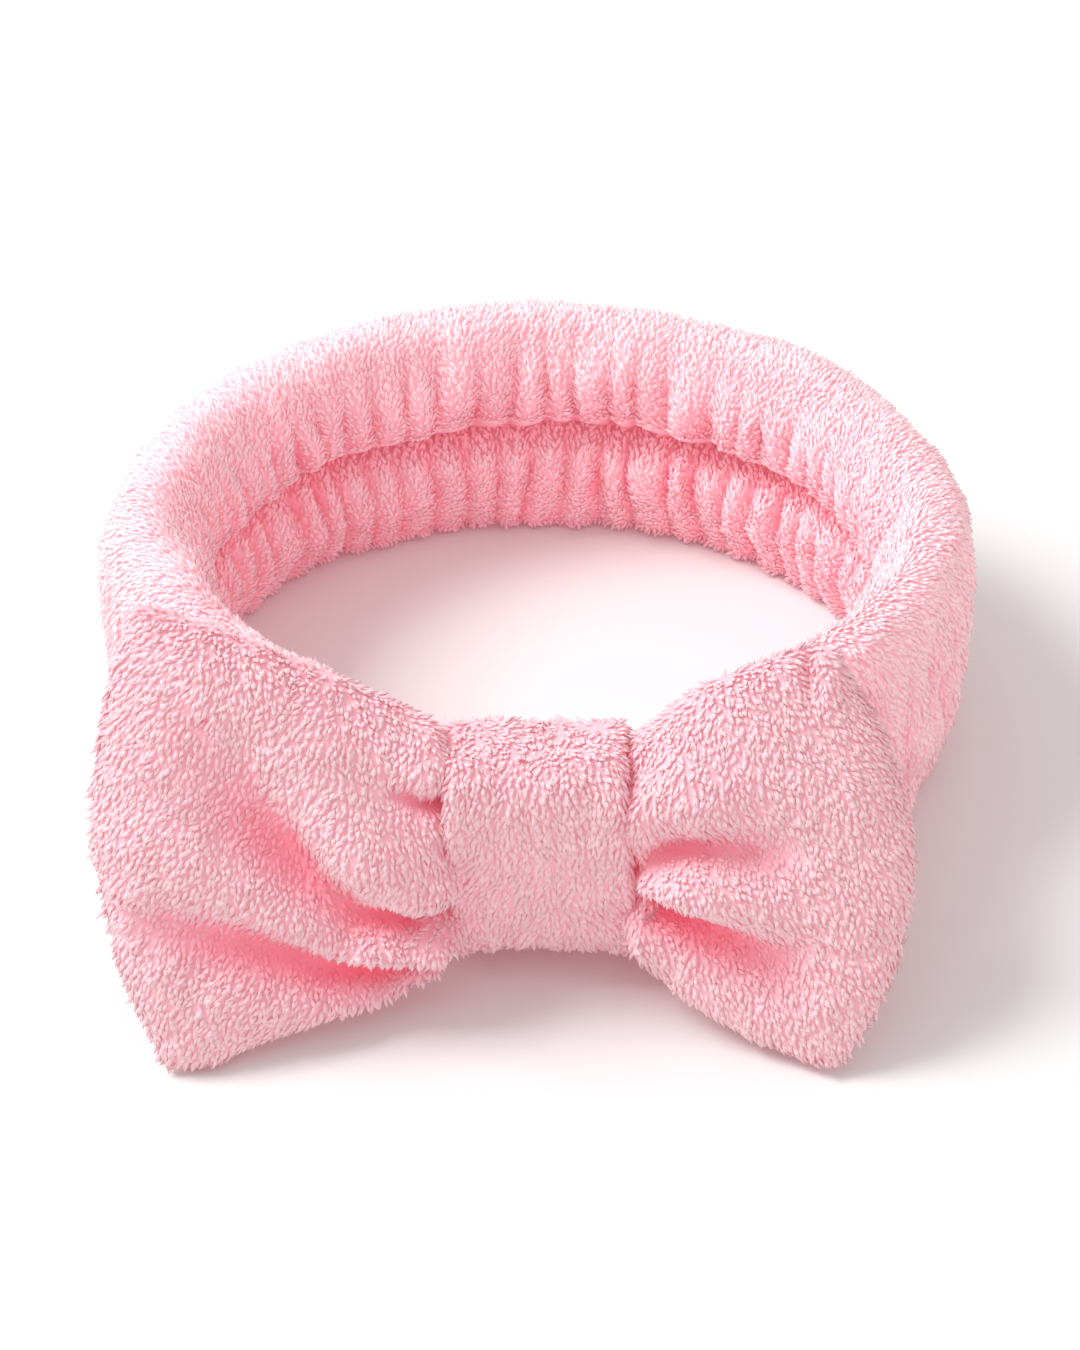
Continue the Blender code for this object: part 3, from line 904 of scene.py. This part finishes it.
def lock(name, curl, twist):
    """A bent lock. Its point attribute height goes from 0 at the root to 1 where it is highest."""
    maker = bmesh.new()
    bmesh.ops.create_cone(maker, cap_ends=True, segments=4, radius1=1, radius2=0, depth=1)
    tip = max(maker.verts, key=lambda vert: vert.co.z)
    bmesh.ops.subdivide_edges(maker, edges=list(tip.link_edges), cuts=1)
    for vert in maker.verts:
        step = round((vert.co.z + 0.5) * 2)
        share, width = LOCK_SHAPE[step]
        across = Vector((vert.co.x, vert.co.y))
        across = across.normalized() * width * LOCK_WIDTH if across.length > 1e-6 else across
        slope = share * curl * math.pi / 2
        x = LOCK_LENGTH * share**1.2 + across.x * math.cos(slope)
        z = (LOCK_RISE + LOCK_ROOT) * share**0.75 - LOCK_ROOT
        vert.co = Vector((x, across.y + twist * share**2, z - across.x * math.sin(slope)))
    layer = maker.verts.layers.float.new("height")
    for vert in maker.verts:
        vert[layer] = smooth((vert.co.z + LOCK_ROOT) / (LOCK_RISE + LOCK_ROOT))
    return finish_piece(name, maker, band_fibres)


locks = [
    lock("lock_straight", 0.45, 0.0),
    lock("lock_left", 0.55, 0.0005),
    lock("lock_right", 0.50, -0.0006),
]
print("lock faces", [len(one.data.polygons) for one in locks])


# %% Nodes that grow the pile
LOCK_SPACING = 0.00084
LOCK_DENSITY = 2.8e6
PATCH_SCALE = 70  # patches of locks that lie the same way are about 15 mm across
PATCH_STRAY = (2.0, 2.0, 2.0)  # how far a patch may stray from the cloth's own direction
# The largest turns of a lock: rolled, tipped off the cloth or into it, and swung sideways.
ROLL = (-0.16, 0.16)
TIP_UP = (-0.16, 0.08)
SWING = (-0.38, 0.38)
SMALLEST_LOCK, LARGEST_LOCK = (0.8, 0.8, 0.8), (1.2, 1.25, 1.2)


def pile_group():
    group = bpy.data.node_groups.new("pile", "GeometryNodeTree")
    group.interface.new_socket(name="Cloth", in_out="INPUT", socket_type="NodeSocketGeometry")
    group.interface.new_socket(name="Field", in_out="INPUT", socket_type="NodeSocketInt")
    group.interface.new_socket(name="Pile", in_out="OUTPUT", socket_type="NodeSocketGeometry")
    nodes, links = group.nodes, group.links
    given, out = nodes.new("NodeGroupInput"), nodes.new("NodeGroupOutput")

    field = nodes.new("GeometryNodeInputNamedAttribute")
    field.data_type = "INT"
    field.inputs["Name"].default_value = "field"
    chosen = nodes.new("FunctionNodeCompare")
    chosen.data_type = "INT"
    chosen.operation = "EQUAL"
    links.new(field.outputs["Attribute"], chosen.inputs[2])
    links.new(given.outputs["Field"], chosen.inputs[3])

    points = nodes.new("GeometryNodeDistributePointsOnFaces")
    points.distribute_method = "POISSON"
    points.inputs["Distance Min"].default_value = LOCK_SPACING
    points.inputs["Density Max"].default_value = LOCK_DENSITY
    points.inputs["Seed"].default_value = 11
    links.new(given.outputs["Cloth"], points.inputs["Mesh"])
    links.new(chosen.outputs["Result"], points.inputs["Selection"])

    def chance(kind, low, high, seed):
        made = nodes.new("FunctionNodeRandomValue")
        made.data_type = kind
        sockets = {"FLOAT": (2, 3, 1), "INT": (4, 5, 2), "FLOAT_VECTOR": (0, 1, 0)}[kind]
        made.inputs[sockets[0]].default_value = low
        made.inputs[sockets[1]].default_value = high
        made.inputs["Seed"].default_value = seed
        return made.outputs[sockets[2]]

    def vector_math(operation, first, second):
        made = nodes.new("ShaderNodeVectorMath")
        made.operation = operation
        for socket, value in zip(made.inputs, (first, second)):
            if isinstance(value, tuple):
                socket.default_value = value
            else:
                links.new(value, socket)
        return made.outputs["Vector"]

    patches = nodes.new("ShaderNodeTexNoise")
    patches.inputs["Scale"].default_value = PATCH_SCALE
    patches.inputs["Detail"].default_value = 1
    brushed = nodes.new("GeometryNodeInputNamedAttribute")
    brushed.data_type = "FLOAT_VECTOR"
    brushed.inputs["Name"].default_value = "lay"
    stray = vector_math("SUBTRACT", patches.outputs["Color"], (0.5, 0.5, 0.5))
    stray = vector_math("MULTIPLY", stray, PATCH_STRAY)
    lay = vector_math("ADD", brushed.outputs["Attribute"], stray)

    def align(axis, rotation, direction, pivot="AUTO"):
        made = nodes.new("FunctionNodeAlignRotationToVector")
        made.axis = axis
        made.pivot_axis = pivot
        if rotation:
            links.new(rotation, made.inputs["Rotation"])
        links.new(direction, made.inputs["Vector"])
        return made.outputs["Rotation"]

    upright = align("Z", None, points.outputs["Normal"])
    combed = align("X", upright, lay, "Z")
    turns = nodes.new("ShaderNodeCombineXYZ")
    links.new(chance("FLOAT", *ROLL, 22), turns.inputs["X"])
    links.new(chance("FLOAT", *TIP_UP, 23), turns.inputs["Y"])
    links.new(chance("FLOAT", *SWING, 21), turns.inputs["Z"])
    as_rotation = nodes.new("FunctionNodeEulerToRotation")
    links.new(turns.outputs["Vector"], as_rotation.inputs["Euler"])
    turned = nodes.new("FunctionNodeRotateRotation")
    turned.rotation_space = "LOCAL"
    links.new(combed, turned.inputs["Rotation"])
    links.new(as_rotation.outputs["Rotation"], turned.inputs["Rotate By"])

    kinds = nodes.new("GeometryNodeJoinGeometry")
    for one in reversed(locks):
        info = nodes.new("GeometryNodeObjectInfo")
        info.inputs["Object"].default_value = one
        info.inputs["As Instance"].default_value = True
        links.new(info.outputs["Geometry"], kinds.inputs["Geometry"])
    copies = nodes.new("GeometryNodeInstanceOnPoints")
    copies.inputs["Pick Instance"].default_value = True
    ground = nodes.new("GeometryNodeStoreNamedAttribute")
    ground.data_type = "FLOAT_VECTOR"
    ground.domain = "POINT"
    ground.inputs["Name"].default_value = "ground"
    links.new(points.outputs["Points"], ground.inputs["Geometry"])
    links.new(points.outputs["Normal"], ground.inputs["Value"])
    links.new(ground.outputs["Geometry"], copies.inputs["Points"])
    links.new(kinds.outputs["Geometry"], copies.inputs["Instance"])
    links.new(chance("INT", 0, len(locks) - 1, 24), copies.inputs["Instance Index"])
    links.new(turned.outputs["Rotation"], copies.inputs["Rotation"])
    size = chance("FLOAT_VECTOR", SMALLEST_LOCK, LARGEST_LOCK, 25)
    links.new(size, copies.inputs["Scale"])

    shade = nodes.new("GeometryNodeStoreNamedAttribute")
    shade.data_type = "FLOAT"
    shade.domain = "INSTANCE"
    shade.inputs["Name"].default_value = "shade"
    links.new(copies.outputs["Instances"], shade.inputs["Geometry"])
    links.new(chance("FLOAT", 0.0, 1.0, 26), shade.inputs["Value"])
    real = nodes.new("GeometryNodeRealizeInstances")
    links.new(shade.outputs["Geometry"], real.inputs["Geometry"])
    links.new(real.outputs["Geometry"], out.inputs["Pile"])
    return group


PILE_NODES = pile_group()

# %% [markdown]
# The cloth's faces are shared out between fields, and each field grows one piece of pile. Cloth
# that is hidden inside the knot has field 0 and grows none.


# %% Growing the pile
def share_out(cloth, field_at):
    """Gives every face of a cloth the number of its field."""
    numbers = cloth.data.attributes.new("field", "INT", "FACE")
    numbers.data.foreach_set("value", [field_at(face.center) for face in cloth.data.polygons])


GROUND_SHARE = 0.32  # how far a lock is shaded like the cloth that it grows from
LOWEST_LOCK = 0.0002  # locks that would go through the floor are pressed flat on it


def shade_like_ground(grown):
    """Light goes through the fine fibres of a lock, so it is shaded nearly like its cloth."""
    count = len(grown.vertices)
    ground, own = np.empty(count * 3), np.empty(count * 3)
    grown.attributes["ground"].data.foreach_get("vector", ground)
    grown.vertices.foreach_get("normal", own)
    shaded = (GROUND_SHARE * ground + (1 - GROUND_SHARE) * own).reshape(-1, 3)
    shaded /= np.linalg.norm(shaded, axis=1)[:, None]
    grown.normals_split_custom_set_from_vertices(shaded)
    for used in ("ground", "lay"):
        if used in grown.attributes:
            grown.attributes.remove(grown.attributes[used])


def grow(name, cloth, field, fibres):
    """The pile on one field of a cloth, as a piece whose lowest locks are pressed on the floor."""
    piece = bpy.data.objects.new(name, cloth.data)
    scene.collection.objects.link(piece)
    grower = piece.modifiers.new("pile", "NODES")
    grower.node_group = PILE_NODES
    field_socket = PILE_NODES.interface.items_tree["Field"].identifier
    grower[field_socket] = field
    evaluated = piece.evaluated_get(bpy.context.evaluated_depsgraph_get())
    grown = bpy.data.meshes.new_from_object(evaluated)
    piece.modifiers.clear()
    piece.data = grown
    grown.name = name
    grown.materials.clear()
    grown.materials.append(fibres)
    places = np.empty(len(grown.vertices) * 3)
    grown.vertices.foreach_get("co", places)
    places[2::3] = np.maximum(places[2::3], LOWEST_LOCK)
    grown.vertices.foreach_set("co", places)
    grown.update()
    shade_like_ground(grown)
    print(name, len(grown.polygons), "faces")
    return piece


BAND_FIELDS = 5


def band_field(centre):
    if abs(centre.x) < KNOT_REACH - 0.003 and centre.y < -0.045:
        return 0
    share = (math.atan2(centre.x, centre.y - RING_CENTRE_Y) / (2 * math.pi)) % 1.0
    return 1 + int(share * BAND_FIELDS)


def loop_field(centre):
    return int(abs(centre.x) > KNOT_REACH - 0.003)


share_out(band, band_field)
share_out(knot_cloth, lambda centre: 1)
band_piles = [grow(f"band_pile_{i}", band, i, band_fibres) for i in range(1, BAND_FIELDS + 1)]
loop_piles = {}
for word, loop in loops.items():
    share_out(loop, loop_field)
    loop_piles[word] = grow(f"bow_{word}_pile", loop, 1, shaded_bow_fibres)
knot_pile = grow("knot_pile", knot_cloth, 1, shaded_bow_fibres)
for one in locks:
    bpy.data.objects.remove(one)

# %% [markdown]
# ## Elastic and threads
# Inside the band runs a flat woven elastic, and the band's long seam is sewn with a thread that
# dives in and out of the cloth. Both are closed rings, so they are spun like the band.


# %% Ring shapes
def spun_ring(name, corners, steps, place, finish):
    """A ring whose section has so many corners. place(angle, corner angle) says where each is."""
    maker = spun_torus(corners, steps)
    for vert in maker.verts:
        vert.co = place(*torus_angles(vert.co))
    return finish_piece(name, maker, finish)


# %% Thread and elastic materials
def weave_shades(made, share, dark, light, bump_strength, bump_distance):
    """Colours a material between two shades by a share, which also raises its surface."""
    nodes, links = made.node_tree.nodes, made.node_tree.links
    shader = nodes["Principled BSDF"]
    shades = nodes.new("ShaderNodeMix")
    shades.data_type = "RGBA"
    shades.inputs["A"].default_value = dark
    shades.inputs["B"].default_value = light
    links.new(share, shades.inputs["Factor"])
    links.new(shades.outputs["Result"], shader.inputs["Base Color"])
    bump = nodes.new("ShaderNodeBump")
    bump.inputs["Strength"].default_value = bump_strength
    bump.inputs["Distance"].default_value = bump_distance
    links.new(share, bump.inputs["Height"])
    links.new(bump.outputs["Normal"], shader.inputs["Normal"])


def thread_material():
    made = bpy.data.materials.new("sewing_thread")
    made.use_nodes = True
    nodes, links = made.node_tree.nodes, made.node_tree.links
    shader = nodes["Principled BSDF"]
    shader.inputs["Roughness"].default_value = 0.55
    shader.inputs["Sheen Weight"].default_value = 0.3
    place = nodes.new("ShaderNodeTexCoord")
    strands = nodes.new("ShaderNodeTexWave")
    strands.bands_direction = "DIAGONAL"
    strands.inputs["Scale"].default_value = 900
    strands.inputs["Distortion"].default_value = 1.5
    links.new(place.outputs["Object"], strands.inputs["Vector"])
    dark, light = (0.88, 0.52, 0.59, 1), (0.95, 0.68, 0.74, 1)
    weave_shades(made, strands.outputs["Fac"], dark, light, 0.5, 0.0001)
    return made


def elastic_material():
    """Woven elastic: ribs that run across the strip and fine rows of thread along it."""
    made = bpy.data.materials.new("woven_elastic")
    made.use_nodes = True
    nodes, links = made.node_tree.nodes, made.node_tree.links
    shader = nodes["Principled BSDF"]
    shader.inputs["Roughness"].default_value = 0.7
    place = nodes.new("ShaderNodeTexCoord")
    parts = nodes.new("ShaderNodeSeparateXYZ")
    links.new(place.outputs["Object"], parts.inputs["Vector"])

    def calculate(operation, first, second):
        made = nodes.new("ShaderNodeMath")
        made.operation = operation
        for socket, value in zip(made.inputs, (first, second)):
            if isinstance(value, (int, float)):
                socket.default_value = value
            else:
                links.new(value, socket)
        return made.outputs["Value"]

    def wave(value, count):
        turned = calculate("SINE", calculate("MULTIPLY", value, count), 0)
        return calculate("MULTIPLY_ADD", turned, 0.5)

    round_ring = calculate("ARCTAN2", parts.outputs["X"], parts.outputs["Y"])
    weave = calculate("MULTIPLY", wave(round_ring, 420), wave(parts.outputs["Z"], 5200))
    dark, light = (0.80, 0.74, 0.74, 1), (0.95, 0.92, 0.91, 1)
    weave_shades(made, weave, dark, light, 0.6, 0.0002)
    return made


thread = thread_material()
woven_elastic = elastic_material()

# %% Elastic strip and the band's seam thread
ELASTIC_HALF_WIDTH = 0.0125
ELASTIC_HALF_THICKNESS = 0.0006
ELASTIC_PLACE = 0.0015  # how far outward of the band's middle line
SEAM_THREAD_RADIUS = 0.0003
SEAM_THREAD_OUT = -0.0020
SEAM_STITCHES = 170


def elastic_place(angle, corner):
    middle = band_sizes(angle)[2]
    out = ELASTIC_PLACE - 0.0006 * pinch(angle) + ELASTIC_HALF_THICKNESS * math.cos(corner)
    up = math.copysign(abs(math.sin(corner)) ** 0.4, math.sin(corner)) * ELASTIC_HALF_WIDTH
    return ring_point(angle) + outward(angle) * out + Vector((0, 0, middle + up))


def seam_thread_place(angle, corner):
    dive = 0.0007 * math.sin(SEAM_STITCHES * angle)
    out = SEAM_THREAD_OUT + dive + SEAM_THREAD_RADIUS * math.cos(corner)
    up = SEAM_THREAD_RADIUS * math.sin(corner)
    return ring_point(angle) + outward(angle) * out + Vector((0, 0, band_sizes(angle)[2] + up))


elastic = spun_ring("elastic_loop", 12, 360, elastic_place, woven_elastic)
seam_thread = spun_ring("band_seam_thread", 6, 1360, seam_thread_place, thread)
for name in (
    "elastic_joint_stitch",
    "band_end_stitch",
    "bow_tack_stitch",
    "bow_gather_thread",
    "knot_closing_stitch",
    "bow_left_seam_thread",
    "bow_right_seam_thread",
):
    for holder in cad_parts[name].material_slots:
        holder.material = thread
print("elastic", len(elastic.data.vertices), "points")
print("seam thread", len(seam_thread.data.vertices), "points")

# %% [markdown]
# ## What moves with what
# The band stretches over the head, and each loop of the bow bends away from the band where it
# leaves the knot, but here the band's cloth, pile, elastic and seam thread and the loops and their
# pile are only baked in place and belong to no body. The knot is sewn in place, so its cloth and
# pile are attached to the front body. The solids that the new pieces stand for are hidden.

# %% Bodies and the hidden solids that the new pieces stand for
for piece in [band, elastic, seam_thread] + band_piles:
    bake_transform(piece)
for word, side in LOOP_SIDES.items():
    for piece in (loops[word], loop_piles[word]):
        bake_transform(piece)
for piece in (knot_cloth, knot_pile):
    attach(piece, "front")

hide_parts("band_front", "band_rear")
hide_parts("elastic_strip")
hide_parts("seam_thread_front", "seam_thread_rear")
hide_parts("bow_left_loop", "bow_waist")
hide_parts("bow_right_loop")
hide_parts("knot_wrap")

# %% Size of the object
look_low, look_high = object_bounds()
proud = (*(cad_low - look_low), *(look_high - cad_high))
print("proud of the solids, mm", [round(1000 * side, 1) for side in proud])
